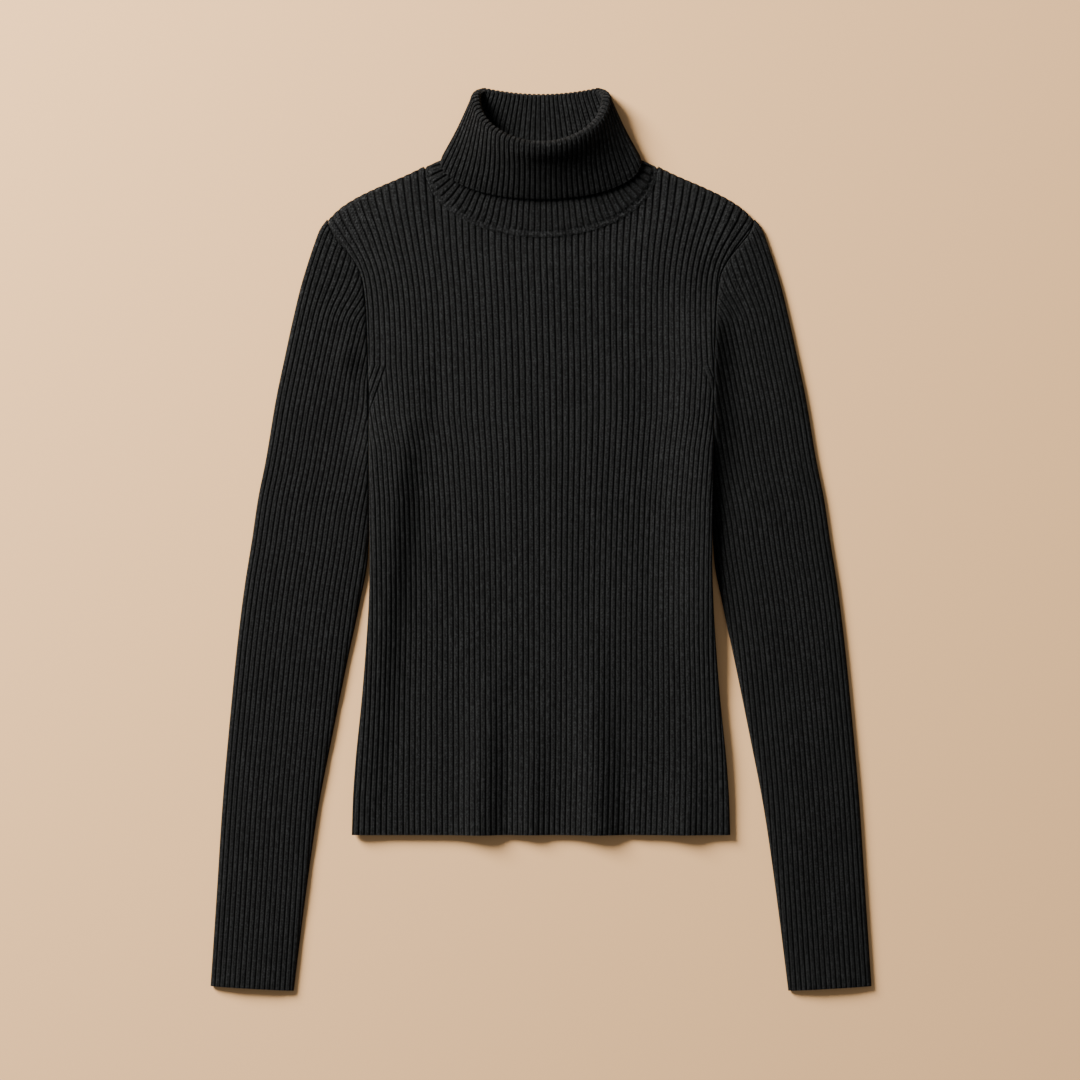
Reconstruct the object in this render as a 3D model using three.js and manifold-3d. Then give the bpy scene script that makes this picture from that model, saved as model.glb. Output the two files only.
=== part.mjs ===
import * as THREE from 'three';
import Module from 'manifold-3d';

// A ribbed knit turtleneck sweater, laid flat on a table with its front up.
// Millimetres. The table is z = 0, the collar points to +Y, the origin is under the middle.
// Five knitted pieces: front panel, back panel, two sleeves and the turned-down collar.

const seamGap = 0.3;
const hemY = -265;
const underarmY = 112;
const fashioningY = 157;

const backThickness = 2.0;
const backInset = 0.4;
const frontUnderZ = 2.3;
const frontGrooveZ = 4.0;
const bodyRelief = 1.0;
const sideRounding = 6;
const sideEdgeHeight = 1.0;

const neckHalfWidth = 103;
const neckFrontY = 273;
const neckSideY = 333;
const neckBackY = 331;
const neckCorner = 5;
const collarWall = 1.4;
const collarRelief = 0.8;
const creaseThinning = 0.8;
const collarFrontRibs = 20;
const collarBackRibs = 16;
const collarFoldRun = 13;
const collarFoldPlace = 3.8;

const sleeveRibPitch = 4.6;
const sleeveGrooveZ = 4.2;
const sleeveRelief = 0.8;
const sleeveFoldZ = 2.4;
const sleeveFoldInset = 1.5;
const sleeveFoldRounding = 6;
const hollowLowZ = 2.2;
const hollowHighZ = 2.8;
const hollowInset = 2.6;
const hollowPast = 2;

// Half of the body, row by row from hem to shoulder tip: edge is the side or the armhole,
// pitch the rib spacing at the middle, rib28 where the 28th rib runs, sidePitch the spacing
// beyond it, and band the strip of three ribs that follows the armhole.
const bodyRows = [
  { y: -265, edge: 170.0, pitch: 5.0, rib28: 140.0, sidePitch: 5.0, band: 0 },
  { y: -234, edge: 169.0, pitch: 5.05, rib28: 139.9, sidePitch: 4.85, band: 0 },
  { y: -198, edge: 166.5, pitch: 5.1, rib28: 138.9, sidePitch: 4.6, band: 0 },
  { y: -144, edge: 161.0, pitch: 5.16, rib28: 136.9, sidePitch: 4.15, band: 0 },
  { y: -90, edge: 156.6, pitch: 5.0, rib28: 133.9, sidePitch: 4.2, band: 0 },
  { y: -54, edge: 154.4, pitch: 4.9, rib28: 132.7, sidePitch: 4.34, band: 0 },
  { y: -18, edge: 153.5, pitch: 5.0, rib28: 134.2, sidePitch: 4.3, band: 0 },
  { y: 36, edge: 154.0, pitch: 5.1, rib28: 136.6, sidePitch: 4.35, band: 0 },
  { y: 81, edge: 154.4, pitch: 5.3, rib28: 139.9, sidePitch: 4.26, band: 0 },
  { y: 112, edge: 154.8, pitch: 5.42, rib28: 142.0, sidePitch: 4.26, band: 0 },
  { y: 157, edge: 155.3, pitch: 5.54, rib28: 141.5, sidePitch: 4.26, band: 13.8 },
  { y: 187, edge: 156.5, pitch: 5.6, rib28: 142.7, sidePitch: 4.26, band: 13.8 },
  { y: 216, edge: 158.2, pitch: 5.64, rib28: 144.4, sidePitch: 4.26, band: 13.8 },
  { y: 243, edge: 163.0, pitch: 5.72, rib28: 148.4, sidePitch: 4.26, band: 14.6 },
  { y: 262, edge: 176.5, pitch: 5.78, rib28: 160.1, sidePitch: 4.26, band: 16.4 },
  { y: 277, edge: 188.0, pitch: 5.8, rib28: 171.6, sidePitch: 4.26, band: 16.4 },
  { y: 287, edge: 191.3, pitch: 5.8, rib28: 174.9, sidePitch: 4.26, band: 16.4 },
];
const mainRibs = 28;
const sideRibs = 6;
const bandRibs = 3;
const bandRibPitch = 4.6;
const ribFadeFrom = 0.6;
const ribFadeOver = 3;

const shoulderLine = [
  { x: 104.0, y: 334.6 },
  { x: 118.0, y: 329.0 },
  { x: 150.0, y: 315.0 },
  { x: 168.0, y: 306.0 },
  { x: 182.0, y: 296.5 },
  { x: 191.3, y: 287.0 },
];

// Soft folds of the front: a ridge or trough (negative) along a line, with its half width.
const frontFolds = [
  { name: 'hem wave left corner', x1: -152, y1: -265, x2: -150, y2: -190, half: 20, height: 2.6 },
  { name: 'hem wave left', x1: -50, y1: -265, x2: -38, y2: -140, half: 26, height: 5.0 },
  { name: 'hem trough', x1: -57, y1: -250, x2: -54, y2: -165, half: 8, height: -1.2 },
  { name: 'hem wave right', x1: 68, y1: -265, x2: 60, y2: -130, half: 24, height: 5.4 },
  { name: 'hem trough right', x1: 30, y1: -255, x2: 28, y2: -170, half: 9, height: -1.2 },
  { name: 'hem wave right corner', x1: 150, y1: -265, x2: 148, y2: -200, half: 18, height: 2.4 },
  { name: 'drag under left arm', x1: -130, y1: 88, x2: -84, y2: 20, half: 13, height: -1.4 },
  { name: 'waist ridge left', x1: -146, y1: 110, x2: -143, y2: 10, half: 9, height: 1.0 },
  { name: 'waist trough left', x1: -120, y1: -20, x2: -126, y2: -120, half: 9, height: -1.0 },
];
const frontPuff = 1.5;
const puffRun = 32;

// The sleeve, row by row from shoulder to cuff: a line across it from outer to inner edge.
// fold is 0 where the inner edge is the armhole seam and 1 where the tube folds under.
const sleeveRows = [
  { outX: 193.0, outY: 288.0, inX: 191.7, inY: 287.0, fold: 0 },
  { outX: 198.5, outY: 279.5, inX: 188.3, inY: 276.7, fold: 0 },
  { outX: 204.0, outY: 266.0, inX: 176.9, inY: 261.6, fold: 0 },
  { outX: 210.0, outY: 248.0, inX: 163.4, inY: 242.5, fold: 0 },
  { outX: 216.0, outY: 228.0, inX: 158.7, inY: 214.0, fold: 0 },
  { outX: 223.2, outY: 198.0, inX: 156.7, inY: 183.0, fold: 0 },
  { outX: 231.0, outY: 162.0, inX: 155.6, inY: 146.0, fold: 0 },
  { outX: 238.3, outY: 127.0, inX: 155.2, inY: 111.0, fold: 0 },
  { outX: 247.5, outY: 72.0, inX: 154.8, inY: 56.0, fold: 0.6 },
  { outX: 254.7, outY: 36.0, inX: 154.6, inY: 18.0, fold: 1 },
  { outX: 260.0, outY: 0.0, inX: 158.0, inY: -17.0, fold: 1 },
  { outX: 266.4, outY: -40.0, inX: 165.0, inY: -55.0, fold: 1 },
  { outX: 272.7, outY: -90.0, inX: 174.5, inY: -103.0, fold: 1 },
  { outX: 279.9, outY: -162.0, inX: 187.0, inY: -173.0, fold: 1 },
  { outX: 286.2, outY: -234.0, inX: 200.5, inY: -243.0, fold: 1 },
  { outX: 291.8, outY: -320.0, inX: 212.4, inY: -326.0, fold: 1 },
  { outX: 297.2, outY: -401.0, inX: 222.3, inY: -405.2, fold: 1 },
];

// The collar as rings of the knitted tube, from the neck seam up to the roll and down again
// to the free edge. Each ring has its half width, where it runs at the front, at the side
// and at the back, its corner radius and its heights. crowd is how much wider its ribs stand
// at the front middle than at the side. outerRibs is 1 where the outer side of the stand shows.
const collarRings = [
  { name: 'neck seam', half: neckHalfWidth, front: neckFrontY, side: neckSideY, back: neckBackY,
    corner: neckCorner, zFront: 3.6, zSide: 3.6, zBack: 1.0, crowd: -0.15, innerRibs: 0, outerRibs: 0 },
  { name: 'seam band', half: 99.5, front: 276.5, side: 336.0, back: 333.6, corner: 5,
    zFront: 4.2, zSide: 4.3, zBack: 1.5, crowd: -0.13, innerRibs: 0, outerRibs: 0 },
  { name: 'stand start', half: 98.6, front: 277.6, side: 336.8, back: 334.4, corner: 5,
    zFront: 4.3, zSide: 4.5, zBack: 1.7, crowd: -0.13, innerRibs: 1, outerRibs: 1 },
  { name: 'stand low', half: 84.8, front: 304.0, side: 345.0, back: 341.5, corner: 6,
    zFront: 7.4, zSide: 6.0, zBack: 3.0, crowd: 0, innerRibs: 1, outerRibs: 1 },
  { name: 'stand hidden', half: 81.3, front: 310.0, side: 351.0, back: 348.0, corner: 6,
    zFront: 8.0, zSide: 6.3, zBack: 3.0, crowd: 0, innerRibs: 1, outerRibs: 0 },
  { name: 'stand middle', half: 69.5, front: 331.0, side: 373.0, back: 371.0, corner: 6,
    zFront: 10.6, zSide: 7.2, zBack: 3.0, crowd: 0.04, innerRibs: 1, outerRibs: 0 },
  { name: 'stand top', half: 56.5, front: 351.0, side: 398.0, back: 394.5, corner: 6,
    zFront: 14.0, zSide: 8.6, zBack: 3.0, crowd: 0.08, innerRibs: 1, outerRibs: 0 },
  { name: 'roll inside', half: 54.0, front: 355.5, side: 401.5, back: 398.0, corner: 6.5,
    zFront: 16.4, zSide: 10.4, zBack: 2.8, crowd: 0.1, innerRibs: 1, outerRibs: 0 },
  { name: 'roll crest', half: 56.5, front: 357.2, side: 403.2, back: 399.6, corner: 7,
    zFront: 19.4, zSide: 12.4, zBack: 1.9, crowd: 0.1, innerRibs: 1, outerRibs: 0 },
  { name: 'roll outside', half: 60.2, front: 354.6, side: 402.4, back: 398.6, corner: 7,
    zFront: 21.8, zSide: 12.2, zBack: 1.0, crowd: 0.1, innerRibs: 1, outerRibs: 0 },
  { name: 'fold top', half: 62.4, front: 348.0, side: 398.0, back: 394.5, corner: 7,
    zFront: 22.0, zSide: 11.2, zBack: 0.8, crowd: 0.08, innerRibs: 1, outerRibs: 0 },
  { name: 'fold middle', half: 74.0, front: 328.0, side: 374.0, back: 371.0, corner: 7,
    zFront: 16.8, zSide: 9.8, zBack: 0.8, crowd: 0, innerRibs: 1, outerRibs: 0 },
  { name: 'free edge', half: 90.5, front: 306.0, side: 344.6, back: 342.6, corner: 6,
    zFront: 11.6, zSide: 9.0, zBack: 0.8, crowd: -0.04, innerRibs: 1, outerRibs: 0 },
];

const clamp = THREE.MathUtils.clamp;
const lerp = THREE.MathUtils.lerp;
const smooth = (value) => THREE.MathUtils.smoothstep(value, 0, 1);

// Reads one named column of a table at a place between its rows.
function tableAt(rows, key, at, column) {
  const rising = rows[rows.length - 1][key] > rows[0][key];
  let upper = rows.findIndex((row) => (rising ? row[key] >= at : row[key] <= at));
  if (upper < 0) upper = rows.length - 1;
  if (upper === 0) return rows[0][column];
  const before = rows[upper - 1];
  const after = rows[upper];
  const share = (at - before[key]) / (after[key] - before[key]);
  return lerp(before[column], after[column], clamp(share, 0, 1));
}

// Collects triangles, sharing the points that fall together and dropping empty triangles.
class Surface {
  constructor() {
    this.points = [];
    this.triangles = [];
    this.known = new Map();
  }

  index(point) {
    const key = point.map((value) => Math.round(value * 1e4)).join(' ');
    if (!this.known.has(key)) {
      this.known.set(key, this.points.length);
      this.points.push(point);
    }
    return this.known.get(key);
  }

  triangle(a, b, c) {
    const corners = [this.index(a), this.index(b), this.index(c)];
    if (new Set(corners).size === 3) this.triangles.push(corners);
  }

  quad(a, b, c, d) {
    this.triangle(a, b, c);
    this.triangle(a, c, d);
  }

  // A net of rows. Each row runs left to right and the rows follow each other upward.
  net(rows, flipped = false) {
    for (let i = 0; i + 1 < rows.length; i += 1) {
      for (let j = 0; j + 1 < rows[i].length; j += 1) {
        const [a, b, c, d] = [rows[i][j], rows[i][j + 1], rows[i + 1][j + 1], rows[i + 1][j]];
        if (flipped) this.quad(a, d, c, b);
        else this.quad(a, b, c, d);
      }
    }
  }

  // Joins a row of many points to a row that has one point for each step of the first.
  zip(many, few, step, flipped = false) {
    for (let k = 0; k + 1 < few.length; k += 1) {
      const from = Math.min(k * step, many.length - 1);
      const to = Math.min(from + step, many.length - 1);
      for (let j = from; j < to; j += 1) {
        if (flipped) this.triangle(few[k], many[j + 1], many[j]);
        else this.triangle(few[k], many[j], many[j + 1]);
      }
      if (flipped) this.triangle(few[k], few[k + 1], many[to]);
      else this.triangle(few[k], many[to], few[k + 1]);
    }
  }

  mirrored() {
    const other = new Surface();
    for (const [a, b, c] of this.triangles) {
      const flip = (i) => [-this.points[i][0], this.points[i][1], this.points[i][2]];
      other.triangle(flip(a), flip(c), flip(b));
    }
    return other;
  }

  geometry() {
    const result = new THREE.BufferGeometry();
    result.setAttribute('position', new THREE.Float32BufferAttribute(this.points.flat(), 3));
    result.setIndex(this.triangles.flat());
    result.computeVertexNormals();
    return result;
  }
}

// The edge of a panel at the top: the curved neck in the middle and the sloping shoulders.
const panelNeckHalf = neckHalfWidth + collarWall / 2 + seamGap * 2;
const neckRise = neckSideY - neckCorner - neckFrontY;
function frontTopY(x) {
  const across = Math.abs(x) / panelNeckHalf;
  const lowest = neckFrontY - seamGap * 1.5;
  if (across < 1) return lowest + neckRise * (1 - Math.sqrt(1 - across * across));
  return tableAt(shoulderLine, 'x', Math.abs(x), 'y');
}

// Where a half rib step of the front runs at a given height: even steps are grooves.
const mainSteps = mainRibs * 2;
const sideSteps = sideRibs * 2;
const bandSteps = bandRibs * 2;
const halfSteps = mainSteps + sideSteps + bandSteps;
function ribX(step, y) {
  const row = (column) => tableAt(bodyRows, 'y', y, column);
  const edge = row('edge');
  const count = Math.abs(step);
  const bandX = edge - row('band');
  let x;
  if (count <= mainSteps) {
    const rib = count / 2;
    const tighten = (row('pitch') * mainRibs - row('rib28')) / mainRibs ** 3;
    x = row('pitch') * rib - tighten * rib ** 3;
  } else if (count <= mainSteps + sideSteps) {
    x = Math.min(row('rib28') + (count - mainSteps) / 2 * row('sidePitch'), bandX);
  } else {
    const bandPitch = Math.max(row('band') / bandRibs, bandRibPitch);
    x = bandX + (count - mainSteps - sideSteps) / 2 * bandPitch;
  }
  return Math.sign(step) * Math.min(x, edge);
}

// A rib is raised only where it has room: not where it has run off at a seam.
function ribRaised(step, y) {
  if (step % 2 === 0) return 0;
  const room = Math.abs(ribX(step + 1, y) - ribX(step - 1, y));
  return bodyRelief * clamp((room - ribFadeFrom) / ribFadeOver, 0, 1);
}

// The height at which a half rib step runs into the top edge.
function ribTopY(step) {
  let low = fashioningY;
  let high = shoulderLine[0].y;
  for (let halving = 0; halving < 40; halving += 1) {
    const middle = (low + high) / 2;
    if (middle < frontTopY(ribX(step, middle))) low = middle;
    else high = middle;
  }
  return (low + high) / 2;
}

function foldHeight(fold, x, y) {
  const along = new THREE.Vector2(fold.x2 - fold.x1, fold.y2 - fold.y1);
  const length = along.length();
  along.normalize();
  const reach = (x - fold.x1) * along.x + (y - fold.y1) * along.y;
  const off = (x - fold.x1) * along.y - (y - fold.y1) * along.x;
  const atHem = fold.y1 === hemY;
  const ends = atHem
    ? 1 - smooth(Math.max(reach, 0) / length)
    : Math.sin(Math.PI * clamp(reach / length, 0, 1));
  return fold.height * ends * Math.exp(-((off / fold.half) ** 2));
}

// How far the front stands up from lying flat on the back: none at the seams.
function frontLift(x, y) {
  const clear = (distance) => smooth(distance / puffRun);
  const widening = neckHalfWidth / neckRise;
  const fromNeck = Math.hypot(x / widening, neckSideY - y) - neckRise;
  const fromSide = tableAt(bodyRows, 'y', y, 'edge') - Math.abs(x);
  const fromArmhole = lerp(clear(fromSide), 1, clear(underarmY - y));
  const folds = frontFolds.reduce((sum, fold) => sum + foldHeight(fold, x, y), 0);
  return Math.max(frontPuff + folds, 0) * clear(fromNeck) * clear(frontTopY(x) - y) * fromArmhole;
}

function frontPoint(step, y) {
  const x = ribX(step, y);
  const edge = tableAt(bodyRows, 'y', y, 'edge');
  const fromSide = y <= underarmY ? edge - Math.abs(x) : sideRounding;
  const fromShoulder = Math.abs(x) > panelNeckHalf ? frontTopY(x) - y : sideRounding;
  const inward = clamp(Math.min(fromSide, fromShoulder) / sideRounding, 0, 1);
  const round = Math.sqrt(1 - (1 - inward) ** 2);
  const wall = frontGrooveZ - frontUnderZ + ribRaised(step, y);
  const under = frontUnderZ + frontLift(x, y);
  return { top: [x, y, under + lerp(sideEdgeHeight, wall, round)], under: [x, y, under] };
}

function frontPanel() {
  const lowRows = [hemY, -232, -196, -150, -100, -50, 0, 50, 86, underarmY, 135, fashioningY];
  const highShares = [0.24, 0.454, 0.6615, 0.808, 0.923, 0.97, 1];
  const steps = Array.from({ length: halfSteps * 2 + 1 }, (_, i) => i - halfSteps);
  const tops = steps.map(ribTopY);
  const rows = lowRows.map((y) => steps.map((step) => frontPoint(step, y)));
  for (const share of highShares) {
    rows.push(steps.map((step, i) => frontPoint(step, lerp(fashioningY, tops[i], share))));
  }
  const underStep = 4;
  const topRows = rows.map((row) => row.map((pair) => pair.top));
  const underRows = rows.map((row) => row
    .filter((_, i) => i % underStep === 0 || i === row.length - 1)
    .map((pair) => pair.under));
  const cloth = new Surface();
  cloth.net(topRows);
  cloth.net(underRows, true);
  const last = rows.length - 1;
  cloth.zip(topRows[0], underRows[0], underStep, true);
  cloth.zip(topRows[last], underRows[last], underStep);
  const side = (i) => rows.map((row) => [row[i].under, row[i].top]);
  cloth.net(side(0));
  cloth.net(side(steps.length - 1), true);
  return cloth;
}

// The back lies flat on the table under the front, with the same outline and a level neck.
function backPanel() {
  const side = bodyRows.map((row) => [row.edge - backInset, row.y]);
  side[0][1] += backInset;
  const shoulder = shoulderLine.slice(0, -1).reverse().map((spot) => [spot.x, spot.y - backInset]);
  const neck = [panelNeckHalf + seamGap, neckBackY - seamGap];
  const half = [...side, ...shoulder, neck];
  const ring = [...half, ...half.slice().reverse().map(([x, y]) => [-x, y])];
  const flat = ring.map(([x, y]) => new THREE.Vector2(x, y));
  const faces = THREE.ShapeUtils.triangulateShape(flat, []);
  const cloth = new Surface();
  const low = ring.map(([x, y]) => [x, y, 0]);
  const high = ring.map(([x, y]) => [x, y, backThickness]);
  for (const [a, b, c] of faces) {
    cloth.triangle(high[a], high[b], high[c]);
    cloth.triangle(low[a], low[c], low[b]);
  }
  ring.forEach((_, i) => {
    const next = (i + 1) % ring.length;
    cloth.quad(low[i], low[next], high[next], high[i]);
  });
  return cloth;
}

const sleeveWidth = (row) => Math.hypot(row.inX - row.outX, row.inY - row.outY);
const sleeveSteps = Math.ceil(Math.max(...sleeveRows.map(sleeveWidth)) / (sleeveRibPitch / 2));

// One line across a sleeve: its ribs keep their spacing from the outer edge and end at
// the armhole seam or run round the inner fold.
function sleeveSection(row) {
  const width = sleeveWidth(row);
  const across = new THREE.Vector2(row.inX - row.outX, row.inY - row.outY).normalize();
  const at = (distance, z) => [row.outX + across.x * distance, row.outY + across.y * distance, z];
  const top = [];
  for (let step = 0; step <= sleeveSteps; step += 1) {
    const distance = Math.min(step * sleeveRibPitch / 2, width);
    const fromOuter = clamp(distance / sleeveFoldRounding, 0, 1);
    const fromInner = clamp((width - distance) / sleeveFoldRounding, 0, 1);
    const roundOuter = Math.sqrt(1 - (1 - fromOuter) ** 2);
    const roundInner = lerp(1, Math.sqrt(1 - (1 - fromInner) ** 2), row.fold);
    const raised = distance < width ? (step % 2) * sleeveRelief : 0;
    top.push(at(distance, lerp(sleeveFoldZ, sleeveGrooveZ + raised, roundOuter * roundInner)));
  }
  const inset = Math.min(sleeveFoldInset, width / 4);
  const innerInset = inset * row.fold;
  return {
    top,
    under: [at(width - innerInset, 0), at(inset, 0)],
    hollow: [at(hollowInset, 0), at(width + lerp(hollowPast, -hollowInset, row.fold), 0)],
  };
}

function sleeve() {
  const sections = sleeveRows.map(sleeveSection).reverse();
  const loops = sections.map((section) => [...section.top, ...section.under, section.top[0]]);
  const cloth = new Surface();
  cloth.net(loops, true);
  const cap = (section, flipped) => {
    const [inner, outer] = section.under;
    const top = section.top;
    for (let j = 0; j + 1 < top.length; j += 1) {
      if (flipped) cloth.triangle(outer, top[j + 1], top[j]);
      else cloth.triangle(outer, top[j], top[j + 1]);
    }
    if (flipped) cloth.triangle(outer, inner, top[top.length - 1]);
    else cloth.triangle(outer, top[top.length - 1], inner);
  };
  cap(sections[0], false);
  cap(sections[sections.length - 1], true);
  return cloth;
}

// The empty inside of a sleeve, open at the cuff and along the armhole.
function sleeveHollow() {
  const sections = sleeveRows.slice(2).map(sleeveSection).reverse();
  const cuff = sections[0].hollow.map((spot, i) => {
    const next = sections[1].hollow[i];
    const run = Math.hypot(spot[0] - next[0], spot[1] - next[1]);
    return [0, 1].map((axis) => spot[axis] + (spot[axis] - next[axis]) / run * hollowPast);
  });
  const spans = [cuff, ...sections.map((section) => section.hollow)];
  const loops = spans.map(([outer, inner]) => [
    [outer[0], outer[1], hollowHighZ],
    [inner[0], inner[1], hollowHighZ],
    [inner[0], inner[1], hollowLowZ],
    [outer[0], outer[1], hollowLowZ],
    [outer[0], outer[1], hollowHighZ],
  ]);
  const space = new Surface();
  space.net(loops, true);
  const [a, b, c, d] = loops[0];
  space.quad(a, b, c, d);
  const [e, f, g, h] = loops[loops.length - 1];
  space.quad(e, h, g, f);
  return space;
}

// A ring of the collar, walked from the front middle round one side to the back middle.
// The layers fold over each other a little past the side, where the ring turns back.
function ringPath(ring) {
  const spots = [];
  const stretch = 40;
  const rise = ring.side - ring.corner - ring.front;
  const quarter = Math.PI / 2;
  const drop = (past) => smooth((past - collarFoldPlace) / collarFoldRun + 0.5);
  for (let i = 0; i <= stretch; i += 1) {
    const turn = quarter * i / stretch;
    const high = lerp(ring.zSide, ring.zFront, Math.cos(turn));
    spots.push([ring.half * Math.sin(turn), ring.front + rise * (1 - Math.cos(turn)),
      lerp(high, ring.zBack, drop(rise * (turn - quarter)))]);
  }
  for (let i = 1; i <= stretch; i += 1) {
    const turn = quarter * i / stretch;
    spots.push([ring.half - ring.corner * (1 - Math.cos(turn)),
      ring.side - ring.corner * (1 - Math.sin(turn)),
      lerp(ring.zSide, ring.zBack, drop(ring.corner * turn))]);
  }
  for (let i = 1; i <= stretch; i += 1) {
    const across = 1 - i / stretch;
    const past = ring.corner * quarter + (ring.half - ring.corner) * (1 - across);
    spots.push([(ring.half - ring.corner) * across, lerp(ring.back, ring.side, across * across),
      lerp(ring.zSide, ring.zBack, drop(past))]);
  }
  return spots;
}

// The place at a given length along a path, between its spots.
function walkPath(spots, lengths, wanted) {
  let i = lengths.findIndex((length) => length >= wanted - 1e-9);
  if (i <= 0) i = 1;
  const part = (wanted - lengths[i - 1]) / (lengths[i] - lengths[i - 1]);
  return spots[i].map((value, axis) => lerp(spots[i - 1][axis], value, part));
}

// Points at half rib steps along a ring: the same ribs always lie on the front.
function ringSpots(ring) {
  const spots = ringPath(ring);
  const lengths = [0];
  for (let i = 1; i < spots.length; i += 1) {
    const [a, b] = [spots[i - 1], spots[i]];
    lengths.push(lengths[i - 1] + Math.hypot(a[0] - b[0], a[1] - b[1], a[2] - b[2]));
  }
  const atSide = lengths[(spots.length - 1) / 3];
  const total = lengths[lengths.length - 1];
  const walk = [];
  for (let step = 0; step < collarFrontRibs * 2; step += 1) {
    const share = step / (collarFrontRibs * 2);
    walk.push(walkPath(spots, lengths, atSide * share * (1 + ring.crowd * (1 - share))));
  }
  for (let step = 0; step <= collarBackRibs * 2; step += 1) {
    walk.push(walkPath(spots, lengths, lerp(atSide, total, step / (collarBackRibs * 2))));
  }
  const other = walk.slice(1, -1).reverse().map(([x, y, z]) => [-x, y, z]);
  return [...walk, ...other];
}

function collar() {
  const steps = (collarFrontRibs + collarBackRibs) * 4;
  const rings = collarRings.map(ringSpots);
  const crestRing = collarRings.findIndex((ring) => ring.name === 'roll crest');
  const vector = ([x, y, z]) => new THREE.Vector3(x, y, z);
  const inner = [];
  const outer = [];
  rings.forEach((spots, i) => {
    const before = rings[Math.max(i - 1, 0)];
    const after = rings[Math.min(i + 1, rings.length - 1)];
    const table = collarRings[i];
    inner.push([]);
    outer.push([]);
    spots.forEach((spot, j) => {
      const left = spots[(j + steps - 1) % steps];
      const right = spots[(j + 1) % steps];
      const round = vector(right).sub(vector(left)).normalize();
      const up = vector(after[j]).sub(vector(before[j])).normalize();
      const normal = round.cross(up).normalize();
      const crest = j % 2;
      const lying = smooth((spot[2] - collarWall / 2) / collarRelief);
      const level = smooth(Math.abs(normal.z) * 2 - 1);
      const creased = i < crestRing ? level : 1;
      const rise = (amount) => collarWall / 2 + collarRelief * crest * amount;
      const squeezed = collarWall / 2 * creaseThinning * (1 - creased);
      const shift = (side, amount) => {
        const moved = vector(spot).addScaledVector(normal, side * amount);
        return [moved.x, moved.y, Math.max(moved.z, 0)];
      };
      inner[i].push(shift(-1, rise(table.innerRibs * lying * creased) - squeezed));
      outer[i].push(shift(1, rise(table.outerRibs * (normal.z > 0 ? level : 0))));
    });
  });
  const cloth = new Surface();
  const closed = (row) => [...row, row[0]];
  const grooves = (row) => closed(row.filter((_, j) => j % 2 === 0));
  const plainFrom = collarRings.findIndex((ring) => ring.name === 'stand middle');
  const last = rings.length - 1;
  cloth.net(inner.map(closed), true);
  cloth.net(outer.slice(0, plainFrom).map(closed));
  cloth.zip(closed(outer[plainFrom - 1]), grooves(outer[plainFrom]), 2);
  cloth.net(outer.slice(plainFrom).map(grooves));
  cloth.net([closed(outer[0]), closed(inner[0])], true);
  cloth.zip(closed(inner[last]), grooves(outer[last]), 2, true);
  return cloth;
}

const wasm = await Module();
wasm.setup();

function solidOf(surface) {
  return new wasm.Manifold(new wasm.Mesh({
    numProp: 3,
    vertProperties: new Float32Array(surface.points.flat()),
    triVerts: new Uint32Array(surface.triangles.flat()),
  }));
}

function surfaceOf(solid) {
  const mesh = solid.getMesh();
  const surface = new Surface();
  const point = (i) => Array.from(mesh.vertProperties.slice(i * mesh.numProp, i * mesh.numProp + 3));
  for (let t = 0; t < mesh.triVerts.length; t += 3) {
    surface.triangle(point(mesh.triVerts[t]), point(mesh.triVerts[t + 1]), point(mesh.triVerts[t + 2]));
  }
  return surface;
}

function blackWool(roughness) {
  return new THREE.MeshStandardMaterial({ color: 0x1f1f21, roughness, metalness: 0 });
}

function addPiece(sweater, name, surface, roughness) {
  const mesh = new THREE.Mesh(surface.geometry(), blackWool(roughness));
  mesh.name = name;
  sweater.add(mesh);
}

const tube = surfaceOf(solidOf(sleeve()).subtract(solidOf(sleeveHollow())));

const sweater = new THREE.Group();
addPiece(sweater, 'front_panel', frontPanel(), 0.95);
addPiece(sweater, 'back_panel', backPanel(), 0.95);
addPiece(sweater, 'sleeve_left', tube, 0.95);
addPiece(sweater, 'sleeve_right', tube.mirrored(), 0.95);
addPiece(sweater, 'collar', collar(), 0.92);

export default sweater;
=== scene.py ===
import math
import bpy
import bmesh
import numpy as np
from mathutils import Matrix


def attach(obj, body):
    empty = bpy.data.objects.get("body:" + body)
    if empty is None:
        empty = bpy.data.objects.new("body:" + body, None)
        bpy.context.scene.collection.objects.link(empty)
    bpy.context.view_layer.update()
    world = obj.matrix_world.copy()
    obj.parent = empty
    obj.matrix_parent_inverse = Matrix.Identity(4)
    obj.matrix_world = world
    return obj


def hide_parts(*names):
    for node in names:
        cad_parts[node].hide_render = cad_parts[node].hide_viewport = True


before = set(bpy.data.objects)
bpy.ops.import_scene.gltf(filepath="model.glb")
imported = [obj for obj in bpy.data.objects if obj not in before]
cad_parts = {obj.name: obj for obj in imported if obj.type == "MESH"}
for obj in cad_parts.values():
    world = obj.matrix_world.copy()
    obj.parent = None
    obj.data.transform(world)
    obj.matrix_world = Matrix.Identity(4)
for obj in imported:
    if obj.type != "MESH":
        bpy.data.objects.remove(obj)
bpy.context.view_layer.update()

# A ribbed turtleneck sweater, laid flat with its front up. The working unit is the
# millimetre, in the frame of the CAD: the table is z = 0 and the collar points to +Y.
metre = 0.001
rng = np.random.default_rng(11)


# Small tools for knitted cloth.

def makeTable(names, rows):
    return {name: np.array(values, float) for name, values in zip(names.split(), zip(*rows))}


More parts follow.
